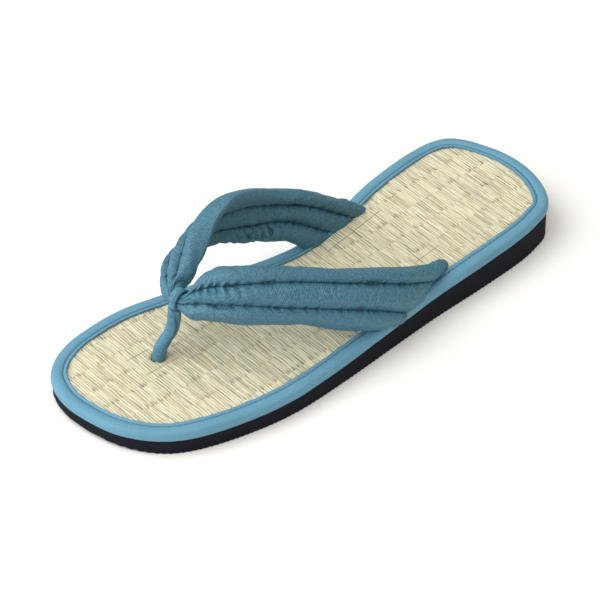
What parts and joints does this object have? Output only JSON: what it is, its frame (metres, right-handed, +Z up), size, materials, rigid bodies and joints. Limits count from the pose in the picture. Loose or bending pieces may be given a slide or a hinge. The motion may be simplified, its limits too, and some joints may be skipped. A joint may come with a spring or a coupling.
{
  "type": "thong sandal",
  "caption": "Low wedge thong sandal for the left foot: straw-mat insole with cloth edge binding, quilted cloth V strap and cloth toe post on a foam outsole.",
  "frame": {"origin": "on the ground, under the middle of the sole's bounding box", "axes": "+Z up, the toe points to -Y and the heel to +Y, the medial (big toe) side is -X and the lateral side +X"},
  "size_m": [0.0955, 0.2614, 0.0655],
  "materials": {
    "outsole_foam": "matt closed-cell foam with fine ribs along its lower edge",
    "straw_mat": "woven straw mat, weft straws across the foot over cotton warp",
    "binding_cloth": "light blue cotton tape cut on the bias",
    "strap_cloth": "padded teal-blue twill with two sewn lines",
    "post_cloth": "stuffed teal-blue twill tube"
  },
  "bodies": {
    "root": {"outsole": "outsole_foam", "insole": "straw_mat", "edge_binding": "binding_cloth", "upper_straps": "strap_cloth", "toe_post": "post_cloth"}
  },
  "joints": []
}
